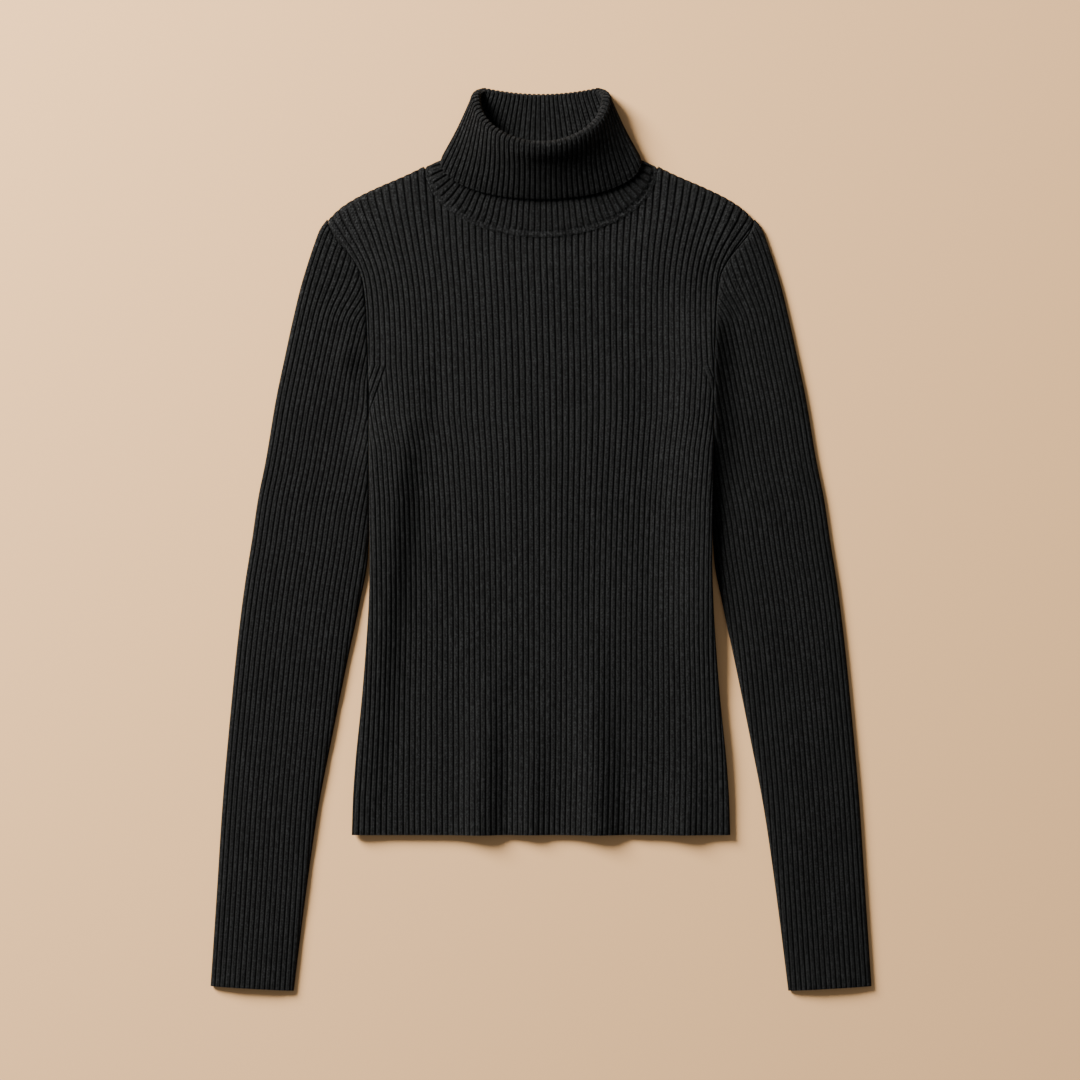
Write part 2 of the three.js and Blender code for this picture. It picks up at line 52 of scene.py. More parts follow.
def curveThrough(places, values):
    # A smooth curve through the rows of a table, which never overshoots them.
    places, values = np.array(places, float), np.array(values, float)
    if places[0] > places[-1]:
        places, values = places[::-1], values[::-1]
    gap = np.diff(places)
    rise = np.diff(values) / gap
    slope = np.concatenate([[rise[0]], np.zeros(len(gap) - 1), [rise[-1]]])
    for i in range(1, len(gap)):
        if rise[i - 1] * rise[i] > 0:
            before, after = 2 * gap[i] + gap[i - 1], gap[i] + 2 * gap[i - 1]
            slope[i] = (before + after) / (before / rise[i - 1] + after / rise[i])

    def at(place):
        place = np.clip(place, places[0], places[-1])
        i = np.clip(np.searchsorted(places, place, side="right") - 1, 0, len(gap) - 1)
        t = (place - places[i]) / gap[i]
        return (values[i] * (1 + 2 * t) * (1 - t) ** 2 + values[i + 1] * t * t * (3 - 2 * t)
                + gap[i] * t * (1 - t) * (slope[i] * (1 - t) - slope[i + 1] * t))
    return at


def smooth(value):
    value = np.clip(value, 0, 1)
    return value * value * (3 - 2 * value)


def blend(low, high, share):
    return low + (high - low) * share


def ribProfile(phase, power):
    # 0 in the groove and 1 on the wide flat top of the rib.
    return 1 - np.abs(2 * phase - 1) ** power


def ribPlaces(first, last, phases):
    # Rib coordinates with the same few places in every rib: whole numbers are grooves.
    return np.append((np.arange(first, last)[:, None] + np.array(phases)).ravel(), last)


def waves(count, sizes, height):
    # A slow unevenness of the cloth, the sum of a few long sine waves.
    parts = [(rng.uniform(0, 2 * math.pi), rng.uniform(0, 2 * math.pi), rng.uniform(*sizes))
             for _ in range(count)]

    def at(x, y):
        total = 0
        for turn, shift, size in parts:
            total = total + np.sin((x * math.cos(turn) + y * math.sin(turn)) * 2 * math.pi / size + shift)
        return total * height / math.sqrt(count)
    return at


class knitCloth:
    # Gathers grids of points with their rib and course coordinates, and with how far the
    # ribs show at each, then makes one mesh.
    def __init__(self):
        self.points, self.marks, self.shown, self.faces, self.count = [], [], [], [], 0

    def add(self, points, rib, course, shown=1.0):
        # points is rows x columns x 3, the others go along with it.
        shape = points.shape[:2]
        index = np.arange(shape[0] * shape[1]).reshape(shape) + self.count
        self.points.append(points.reshape(-1, 3))
        marks = np.stack([np.broadcast_to(rib, shape), np.broadcast_to(course, shape)], -1)
        self.marks.append(marks.reshape(-1, 2))
        self.shown.append(np.broadcast_to(shown, shape).ravel())
        self.count += index.size
        return index

    def net(self, index, flip=False):
        a, b, c, d = index[:-1, :-1], index[:-1, 1:], index[1:, 1:], index[1:, :-1]
        quads = np.stack([a, d, c, b] if flip else [a, b, c, d], -1).reshape(-1, 4)
        self.faces.extend(quads.tolist())

    def zip(self, many, few, ends, flip=False):
        # Joins a row of many points to a row of few: ends says which of the many points
        # stand over each of the few.
        for k in range(len(few) - 1):
            fan = [int(few[k]), *many[ends[k]:ends[k + 1] + 1].tolist(), int(few[k + 1])]
            self.faces.append(fan[::-1] if flip else fan)

    def makeObject(self, name):
        points = np.concatenate(self.points) * metre
        marks = np.concatenate(self.marks)
        mesh = bpy.data.meshes.new(name)
        mesh.from_pydata(points.tolist(), [], self.faces)
        layer = mesh.uv_layers.new(name="knit")
        loops = np.empty(len(mesh.loops), int)
        mesh.loops.foreach_get("vertex_index", loops)
        layer.data.foreach_set("uv", marks[loops].astype(np.float32).ravel())
        show = mesh.attributes.new("ribShow", "FLOAT", "POINT")
        show.data.foreach_set("value", np.concatenate(self.shown).astype(np.float32))
        shape = bmesh.new()
        shape.from_mesh(mesh)
        bmesh.ops.remove_doubles(shape, verts=shape.verts, dist=2e-6)
        many = [face for face in shape.faces if len(face.verts) > 4]
        bmesh.ops.triangulate(shape, faces=many)
        shape.to_mesh(mesh)
        shape.free()
        piece = bpy.data.objects.new(name, mesh)
        bpy.context.scene.collection.objects.link(piece)
        bpy.ops.object.select_all(action="DESELECT")
        piece.select_set(True)
        bpy.context.view_layer.objects.active = piece
        bpy.ops.object.shade_smooth_by_angle(angle=math.radians(75))
        return piece


def measure(piece):
    # Half the surface of a closed wall, in square metres.
    return sum(face.area for face in piece.data.polygons) / 2


# The wool.

def linear(hexColour):
    # sRGB hex to linear colour.
    values = [int(hexColour[i:i + 2], 16) / 255 for i in (1, 3, 5)]
    return [*(v / 12.92 if v <= 0.04045 else ((v + 0.055) / 1.055) ** 2.4 for v in values), 1]


def addNode(tree, kind, inputs=None, links=None, **settings):
    node = tree.nodes.new(kind)
    for key, value in settings.items():
        setattr(node, key, value)
    for key, value in (inputs or {}).items():
        node.inputs[key].default_value = value
    for key, output in (links or {}).items():
        tree.links.new(output, node.inputs[key])
    return node


def knitMaterial(name, look):
    # Fine merino wool, ribbed on a flat-bed machine: a matt black that shows its V stitches on the ribs,
    # with a soft bloom of fibres at grazing light, and grooves between that are darkened with painted shade over
    # their real relief.
    material = bpy.data.materials.new(name)
    material.use_nodes = True
    tree = material.node_tree
    tree.nodes.clear()

    def calc(operation, a, b=None):
        node = tree.nodes.new("ShaderNodeMath")
        node.operation = operation
        for slot, value in enumerate((a, b)):
            if value is None:
                continue
            if isinstance(value, (int, float)):
                node.inputs[slot].default_value = value
            else:
                tree.links.new(value, node.inputs[slot])
        return node.outputs[0]

    place = addNode(tree, "ShaderNodeUVMap", uv_map="knit")
    split = addNode(tree, "ShaderNodeSeparateXYZ", links={"Vector": place.outputs["UV"]})
    rib, course = split.outputs["X"], split.outputs["Y"]
    fromCrest = calc("MULTIPLY", calc("ABSOLUTE", calc("SUBTRACT", calc("FRACT", rib), 0.5)), 2)
    objectPlace = addNode(tree, "ShaderNodeTexCoord")
    fibre = addNode(tree, "ShaderNodeTexNoise", {"Scale": 1 / (look["fibreSize"] * metre), "Detail": 3},
                    {"Vector": objectPlace.outputs["Object"]})
    patch = addNode(tree, "ShaderNodeTexNoise", {"Scale": 1 / (look["patchSize"] * metre), "Detail": 2},
                    {"Vector": objectPlace.outputs["Object"]})
    ragged = calc("MULTIPLY", calc("SUBTRACT", fibre.outputs["Fac"], 0.5), look["ragged"])
    # two wales of V stitches on each rib
    acrossWale = calc("SUBTRACT", calc("MULTIPLY", fromCrest, 1 / look["waleHalf"]), 1)
    lean = calc("MULTIPLY", calc("ABSOLUTE", acrossWale), look["stitchLean"])
    stitch = calc("SUBTRACT", calc("MULTIPLY", course, 1 / look["courseHeight"]), lean)
    legs = calc("SINE", calc("MULTIPLY", calc("FRACT", stitch), math.pi))
    gutter = calc("SUBTRACT", 1, calc("POWER", calc("ABSOLUTE", acrossWale), 3))
    stitchHeight = calc("MULTIPLY", legs, calc("MAXIMUM", gutter, 0))
    # each stitch catches the light a little differently
    leftOrRight = calc("GREATER_THAN", calc("FRACT", rib), 0.5)
    waleNumber = calc("ADD", calc("MULTIPLY", calc("FLOOR", rib), 2), leftOrRight)
    stitchName = addNode(tree, "ShaderNodeCombineXYZ",
                         links={"X": waleNumber, "Y": calc("FLOOR", stitch)})
    chance = addNode(tree, "ShaderNodeTexWhiteNoise", links={"Vector": stitchName.outputs[0]},
                     noise_dimensions="2D")
    stitchTone = addNode(tree, "ShaderNodeMapRange", {"To Min": 1 - look["stitchTone"],
                         "To Max": 1 + look["stitchTone"]}, {"Value": chance.outputs["Value"]})
    # painted shade: the grooves between the ribs are darkened in the colour, most at the groove's middle, with
    # ragged edges
    paintedGrooveShade = addNode(tree, "ShaderNodeMapRange", {"From Min": look["grooveFrom"], "From Max": 1.0,
                          "To Min": 1.0, "To Max": look["paintedGrooveShade"]},
                          {"Value": calc("ADD", fromCrest, ragged)},
                          interpolation_type="SMOOTHSTEP")
    mottle = addNode(tree, "ShaderNodeMapRange", {"From Min": 0.38, "From Max": 0.62,
                     "To Min": 1 - look["mottle"], "To Max": 1 + look["mottle"]}, {"Value": fibre.outputs["Fac"]})
    cloud = addNode(tree, "ShaderNodeMapRange", {"From Min": 0.3, "From Max": 0.7,
                    "To Min": 1 - look["cloud"], "To Max": 1 + look["cloud"]}, {"Value": patch.outputs["Fac"]})
    # painted shade: the hollows between the stitch loops are darker in the colour
    paintedStitchShade = addNode(tree, "ShaderNodeMapRange", {"To Min": look["paintedStitchShade"], "To Max": 1.0},
                          {"Value": stitchHeight})
    # at the seams the ribs run out and the plain face of the wool is left, so ribShow fades the painted groove shade
    # out there
    ribShow = addNode(tree, "ShaderNodeAttribute", attribute_name="ribShow")
    # how much painted shade the grooves get
    dark = calc("MULTIPLY", ribShow.outputs["Fac"], calc("SUBTRACT", 1, paintedGrooveShade.outputs[0]))
    shade = calc("MULTIPLY", calc("MULTIPLY", calc("SUBTRACT", 1, dark), mottle.outputs[0]),
                 calc("MULTIPLY", calc("MULTIPLY", cloud.outputs[0], stitchTone.outputs[0]),
                      paintedStitchShade.outputs[0]))
    # loose fibres stand over the grooves too
    lint = calc("MULTIPLY", calc("MAXIMUM", calc("SUBTRACT", fibre.outputs["Fac"], 0.5), 0), look["lint"])
    shade = calc("ADD", shade, lint)
    tone = addNode(tree, "ShaderNodeVectorMath", {0: linear(look["colour"])[:3]}, operation="SCALE")
    tree.links.new(shade, tone.inputs["Scale"])
    height = calc("ADD", calc("MULTIPLY", stitchHeight, 1.0),
                  calc("MULTIPLY", fibre.outputs["Fac"], look["fuzz"]))
    bump = addNode(tree, "ShaderNodeBump", {"Strength": look["bump"], "Distance": look["stitchDepth"] * metre},
                   {"Height": height})
    shader = addNode(tree, "ShaderNodeBsdfPrincipled",
                     {"Roughness": look["roughness"], "IOR": 1.5, "Specular IOR Level": look["specular"],
                      "Sheen Weight": look["sheen"], "Sheen Roughness": look["sheenRoughness"],
                      "Sheen Tint": linear(look["sheenColour"])},
                     {"Base Color": tone.outputs["Vector"], "Normal": bump.outputs["Normal"]})
    out = addNode(tree, "ShaderNodeOutputMaterial", links={"Surface": shader.outputs["BSDF"]})
    return material


wool = {
    "colour": "#1b1c1d", "sheenColour": "#8f9092", "sheen": 0.08, "sheenRoughness": 0.5,
    "roughness": 0.92, "specular": 0.06,
    "waleHalf": 0.42, "stitchLean": 0.6,
    "courseHeight": 2.4,     # the real course is about 1.3 mm, drawn coarser so that it shows
    # paintedStitchShade is how dark the painted shade between the stitch loops gets
    "stitchDepth": 0.5, "bump": 1.0, "fuzz": 0.9, "paintedStitchShade": 0.55, "stitchTone": 0.35,
    "fibreSize": 1.7, "mottle": 0.5, "ragged": 1.3, "lint": 4.8, "patchSize": 90, "cloud": 0.04,
    # where the painted shade in the grooves begins, and how dark it gets
    "grooveFrom": 0.4, "paintedGrooveShade": 0.1,
}
# The sleeves are a slightly darker piece. The collar is given a darker colour and wider, darker painted groove
# shade: painted shade for the shade that falls over the turned-down collar.
sleeveWoolLook = {**wool, "colour": "#18191a"}
collarLookWithPaintedShade = {**wool, "colour": "#191a1b", "grooveFrom": 0.3, "paintedGrooveShade": 0.06}

# The front and back panels.

body = {
    "hemY": -265, "underarmY": 112, "fashioningY": 157,
    "frontUnderZ": 2.3, "grooveWall": 1.6, "ribRelief": 1.15, "ribPower": 2.2,
    "ribPhases": [0, .05, .14, .29, .5, .71, .86, .95],
    "sideRounding": 6, "sideEdge": 0.7, "rowStep": 4.0,
    "neckHalf": 103, "neckFrontY": 273, "neckSideY": 336, "neckBackY": 333, "neckCorner": 4,
    "puff": 1.5, "puffRun": 32, "foldInset": 14, "backWall": 2.0, "backRelief": 0.8, "backInset": 0.2,
    "standFrom": 92, "standRun": 60, "browRun": 17, "seamFade": 1.8,
    "mainRibs": 27, "sideRibs": 9, "bandRibs": 5,
}

# Half of the body from hem to shoulder tip, on the outline of the CAD: the side or armhole edge, the rib
# spacing in the middle, where the 27th rib runs, the spacing beyond it, where the armhole
# band begins with its own spacing, and how far all the ribs lie to the left.
bodyRows = makeTable("y edge pitch rib27 sidePitch bandX bandPitch drift", [
    (-265, 170.0, 4.72, 131.4, 5.00, 175.0, 4.9, 3.0), (-234, 169.0, 4.77, 131.8, 4.85, 174.0, 4.9, 3.4),
    (-198, 166.5, 4.80, 131.8, 4.60, 171.5, 4.9, 4.0), (-144, 161.0, 4.85, 131.0, 4.25, 166.0, 4.9, 4.0),
    (-90, 156.6, 4.88, 129.5, 4.20, 161.6, 4.9, 4.0), (-54, 154.4, 4.91, 129.2, 4.25, 159.4, 4.9, 4.0),
    (-18, 153.5, 4.97, 129.3, 4.30, 158.5, 4.9, 4.0), (36, 154.0, 5.12, 130.5, 4.35, 159.0, 4.9, 4.0),
    (81, 154.4, 5.33, 133.8, 4.30, 159.4, 4.9, 4.0), (112, 154.8, 5.50, 138.8, 4.26, 158.8, 4.9, 3.4),
    (157, 155.3, 5.55, 142.0, 4.90, 142.0, 4.9, 2.8), (180, 156.2, 5.57, 141.5, 4.90, 141.5, 4.9, 2.1),
    (207, 157.4, 5.62, 142.0, 4.90, 142.0, 4.8, 1.4), (225, 159.2, 5.66, 143.2, 4.90, 143.2, 4.7, 0.8),
    (238, 161.6, 5.70, 145.0, 4.90, 145.0, 4.7, 0.3), (250, 167.4, 5.73, 147.9, 4.90, 147.9, 5.0, -0.1),
    (262, 176.5, 5.76, 151.8, 4.90, 151.8, 5.8, -0.5), (277, 188.0, 5.78, 157.3, 4.90, 157.3, 7.3, -0.5),
    (287, 191.3, 5.79, 161.6, 4.90, 161.6, 8.0, -0.5), (302, 191.3, 5.79, 167.5, 4.90, 167.5, 8.0, -0.5),
    (336, 191.3, 5.79, 178.0, 4.90, 178.0, 8.0, -0.5),
])
shoulderLine = makeTable("x y", [
    (104.0, 336.0), (118.0, 329.0), (150.0, 315.0), (168.0, 306.0), (182.0, 296.5), (191.3, 287.0),
])
bodyEdge = curveThrough(bodyRows["y"], bodyRows["edge"])
shoulderY = curveThrough(shoulderLine["x"], shoulderLine["y"])

# Soft ridges and troughs of the front, each from low to high: y, x, half width and height.
frontFolds = [
    [(-265, -56, 17, 5.4), (-200, -53, 16, 4.2), (-130, -50, 16, 1.4), (-90, -50, 16, 0)],
    [(-265, -32, 9, -1.0), (-180, -32, 9, -0.8), (-130, -32, 9, 0)],
    [(-265, -10, 12, 3.0), (-200, -9, 12, 2.2), (-140, -8, 12, 0)],
    [(-265, 49, 17, 5.6), (-200, 48, 16, 4.4), (-130, 46, 16, 2.4), (-60, 44, 16, 0)],
    [(-265, 77, 9, -1.2), (-170, 72, 9, 0)],
    [(-265, 128, 15, 3.8), (-190, 126, 15, 0)],
    [(60, 84, 16, 0), (110, 72, 18, 1.1), (170, 60, 18, 0)],
    [(40, -20, 20, 0), (110, -30, 22, 0.9), (190, -40, 22, 0)],
    [(96, -98, 8, 0), (126, -91, 8, -1.2), (160, -96, 8, 0)],
]
bodyWaves = waves(7, (70, 190), 0.35)
# How high the side and armhole stand on the +X side and on the -X side, and where and over
# what width the cloth on the -X side comes down again.
rightStand = curveThrough([-265, -144, -99, -54, 54, 120, 165, 190, 210, 232],
                          [0.6, 2.4, 5.2, 7.6, 8.4, 9.2, 8.4, 6.4, 2.6, 0])
leftStand = curveThrough([-265, -198, -144, -90, -18, 54, 88, 126], [1.2, 3.0, 4.2, 5.4, 6.8, 7.4, 5.2, 0.4])
leftBrow = curveThrough([-265, -198, -144, -90, -18, 54, 126], [-164, -157, -151, -146, -137, -131, -122])


def ribX(rib, y):
    # Where a rib coordinate runs at a height; columns that have run out stay on the edge.
    row = {name: np.interp(y, bodyRows["y"], bodyRows[name]) for name in bodyRows}
    edge = bodyEdge(y)
    main, side = body["mainRibs"], body["mainRibs"] + body["sideRibs"]
    count = np.abs(rib)
    inner = np.minimum(count, main)
    tighten = (row["pitch"] * main - row["rib27"]) / main ** 3
    mainX = row["pitch"] * inner - tighten * inner ** 3
    sideX = np.minimum(row["rib27"] + (count - main) * row["sidePitch"], row["bandX"])
    bandX = row["bandX"] + (count - side) * row["bandPitch"]
    x = np.where(count <= main, mainX, np.where(count <= side, sideX, bandX))
    return np.clip(np.sign(rib) * x + row["drift"], -edge, edge)


def frontTopY(x):
    across = np.abs(x) / (body["neckHalf"] + 1.3)
    rise = body["neckSideY"] - body["neckCorner"] - body["neckFrontY"]
    neck = body["neckFrontY"] - 0.45 + rise * (1 - np.sqrt(np.maximum(1 - across ** 2, 0)))
    return np.where(across < 1, neck, shoulderY(np.abs(x)))


def backTopY(x):
    across = np.abs(x) / (body["neckHalf"] + 1.3)
    return np.where(across < 1, body["neckBackY"] - 0.3, shoulderY(np.abs(x)) - body["backInset"])


def topOfRibs(rib, topY):
    low, high = np.full(rib.shape, float(body["fashioningY"])), np.full(rib.shape, shoulderLine["y"][0])
    for _ in range(30):
        middle = (low + high) / 2
        inside = middle < topY(ribX(rib, middle))
        low, high = np.where(inside, middle, low), np.where(inside, high, middle)
    return low


def bodyGrid(rib, topY, rowStep):
    # x and y of every rib place in straight rows up to the fashioning marks, then in rows
    # that follow the top edge.
    lowRows = np.arange(body["hemY"], body["fashioningY"], rowStep)
    shares = np.linspace(0, 1, int(150 / rowStep) + 1)
    y = np.vstack([np.broadcast_to(lowRows[:, None], (len(lowRows), len(rib))),
                   body["fashioningY"] + shares[:, None] * (topOfRibs(rib, topY) - body["fashioningY"])])
    x = ribX(np.broadcast_to(rib, y.shape), y)
    return x, y


def foldsAt(x, y):
    total = 0
    for rows in frontFolds:
        at, middle, half, height = zip(*rows)
        off = (x - curveThrough(at, middle)(y)) / curveThrough(at, half)(y)
        total = total + curveThrough(at, height)(y) * np.exp(-off ** 2)
    return total


def frontLift(x, y):
    rise = body["neckSideY"] - body["neckCorner"] - body["neckFrontY"]
    fromNeck = np.hypot(x * rise / body["neckHalf"], body["neckSideY"] - y) - rise
    fromSide = bodyEdge(y) - np.abs(x)
    run = body["puffRun"]
    fromArmhole = blend(smooth(fromSide / run), 1, smooth((body["underarmY"] - y) / run))
    inside = smooth(fromNeck / run) * smooth((frontTopY(x) - y) / run) * fromArmhole
    folds = foldsAt(x, y) * smooth(fromSide / body["foldInset"])
    return np.maximum(body["puff"] + folds + bodyWaves(x, y), 0) * inside


def sideRise(x, y):
    right = rightStand(y) * smooth((x - body["standFrom"]) / body["standRun"])
    past = np.maximum(x - leftBrow(y), 0) / body["browRun"]
    return right + leftStand(y) * np.exp(-past ** 2)


def ribRelief(rib, y):
    # How high a rib stands and how far it shows: it narrows and sinks where it runs off at a seam.
    first, last = ribX(np.floor(rib), y), ribX(np.floor(rib) + 1, y)
    room = last - first
    phase = np.clip((ribX(rib, y) - first) / np.maximum(room, 1e-6), 0, 1)
    shown = smooth((room - 0.5) / 3)
    height = shown * ribProfile(phase, body["ribPower"])
    fromSeam = bodyEdge(y) - np.abs(ribX(rib, y))
    atSeam = smooth(fromSeam / body["seamFade"]) * (y > body["underarmY"])
    return height, shown * np.where(y > body["underarmY"], atSeam, 1)


def makeFront():
    ribs = body["mainRibs"] + body["sideRibs"] + body["bandRibs"]
    rib = ribPlaces(-ribs, ribs, body["ribPhases"])
    x, y = bodyGrid(rib, frontTopY, body["rowStep"])
    ribGrid = np.broadcast_to(rib, x.shape)
    raised, shown = ribRelief(ribGrid, y)
    raised = raised * body["ribRelief"]
    edge = bodyEdge(y)
    fromSide = np.where(y <= body["underarmY"], edge - np.abs(x), body["sideRounding"])
    beyondNeck = np.abs(x) > body["neckHalf"] + 1.3
    fromShoulder = np.where(beyondNeck, frontTopY(x) - y, body["sideRounding"])
    inward = np.clip(np.minimum(fromSide, fromShoulder) / body["sideRounding"], 0, 1)
    roundness = np.sqrt(1 - (1 - inward) ** 2)
    atArmhole = np.where(y > body["underarmY"], smooth((edge - np.abs(x)) / 1.6), 1)
    atHem = smooth((y - body["hemY"]) / 1.5 + 0.45)
    wall = body["grooveWall"] * blend(0.6, 1, atArmhole) + raised * atHem
    under = body["frontUnderZ"] + frontLift(x, y)
    top = under + blend(body["sideEdge"], wall, roundness)
    # the ribs round the shoulder as small scallops, and the neck edge slips under the seam band
    scallop = raised * smooth(1 - fromShoulder / 3) * beyondNeck * 0.45
    y = y + scallop
    x = x + np.sign(x) * scallop * 0.4
    rise = sideRise(x, y)
    top, under = top + rise, under + rise
    course = y
    cloth = knitCloth()
    upper = cloth.add(np.stack([x, y, top], -1), ribGrid, course, shown)
    step = len(body["ribPhases"])
    rows = np.unique(np.append(np.arange(0, x.shape[0], 3), x.shape[0] - 1))
    pick = np.ix_(rows, np.arange(0, x.shape[1], step))
    lower = cloth.add(np.stack([x, y, under], -1)[pick], ribGrid[pick], course[pick])
    cloth.net(upper)
    cloth.net(lower, flip=True)
    columns = list(range(0, x.shape[1], step))
    cloth.zip(upper[0], lower[0], columns, flip=True)
    cloth.zip(upper[-1], lower[-1], columns)
    cloth.zip(upper[:, 0], lower[:, 0], rows)
    cloth.zip(upper[:, -1], lower[:, -1], rows, flip=True)
    return cloth.makeObject("front_panel_knit")


def makeBack():
    ribs = body["mainRibs"] + body["sideRibs"] + body["bandRibs"]
    rib = ribPlaces(-ribs, ribs, [0, .08, .25, .5, .75, .92])
    x, y = bodyGrid(rib, backTopY, 9.0)
    ribGrid = np.broadcast_to(rib, x.shape)
    edge = bodyEdge(y)
    scale = 1 - body["backInset"] / edge
    inward = np.clip((edge - np.abs(x)) / 5, 0, 1)
    roundness = np.sqrt(1 - (1 - inward) ** 2)
    raised, shown = ribRelief(ribGrid, y)
    rise = sideRise(x, y)
    under = blend(body["backWall"] - 0.7, body["backRelief"] * (1 - raised), roundness) + rise
    cloth = knitCloth()
    lower = cloth.add(np.stack([x * scale, np.maximum(y, body["hemY"] + 0.4), under], -1), ribGrid, y, shown)
    step = 6
    rows = np.unique(np.append(np.arange(0, x.shape[0], 3), x.shape[0] - 1))
    pick = np.ix_(rows, np.arange(0, x.shape[1], step))
    top = np.stack([x * scale, np.maximum(y, body["hemY"] + 0.4), body["backWall"] + rise], -1)[pick]
    upper = cloth.add(top, ribGrid[pick], y[pick])
    cloth.net(lower, flip=True)
    cloth.net(upper)
    columns = list(range(0, x.shape[1], step))
    cloth.zip(lower[0], upper[0], columns)
    cloth.zip(lower[-1], upper[-1], columns, flip=True)
    cloth.zip(lower[:, 0], upper[:, 0], rows, flip=True)
    cloth.zip(lower[:, -1], upper[:, -1], rows)
    return cloth.makeObject("back_panel_knit")


# The sleeves.

sleeve = {
    "ribPitch": 4.5, "grooveZ": 4.2, "ribRelief": 0.95, "ribPower": 2.2,
    "ribPhases": [0, .06, .18, .34, .5, .66, .82, .94],
    "foldZ": 2.2, "topRounding": 6.5, "underRounding": 3.0,
    "hollowLow": 2.2, "hollowHigh": 2.8, "hollowInset": 2.6, "rowStep": 4.0,
    "puff": 0.6, "cuffLift": 1.2, "seamGap": 0.2, "climb": 25, "capFan": 0.27, "capFrom": 205, "capRun": 45,
}

# The sleeve from shoulder to cuff, as in the CAD: lines across it from its outer edge to
# its inner edge, where fold is 1 if the tube folds under and 0 along the armhole.
sleeveRows = makeTable("outX outY inX inY fold", [
    (192.4, 288.2, 191.7, 287.4, 0), (198.7, 279.6, 188.3, 276.7, 0),
    (204.0, 266.0, 176.9, 261.6, 0), (210.0, 248.0, 163.4, 242.5, 0),
    (216.0, 228.0, 158.7, 214.0, 0), (223.2, 198.0, 156.7, 183.0, 0),
    (231.0, 162.0, 155.6, 146.0, 0), (238.3, 127.0, 155.2, 111.0, 0),
    (247.5, 72.0, 154.8, 56.0, 0.6), (254.7, 36.0, 154.4, 18.0, 1),
    (260.0, 0.0, 155.8, -17.0, 1), (266.4, -40.0, 162.6, -55.0, 1),
    (272.7, -90.0, 172.8, -103.0, 1), (279.9, -162.0, 187.0, -173.0, 1),
    (286.2, -234.0, 200.5, -243.0, 1), (291.8, -320.0, 212.4, -326.0, 1),
    (297.2, -401.0, 222.3, -405.2, 1),
])

sleeveRun = np.append(0, np.cumsum(np.hypot(np.diff(sleeveRows["outX"]), np.diff(sleeveRows["outY"]))))
sleeveCurves = {name: curveThrough(sleeveRun, sleeveRows[name]) for name in sleeveRows}


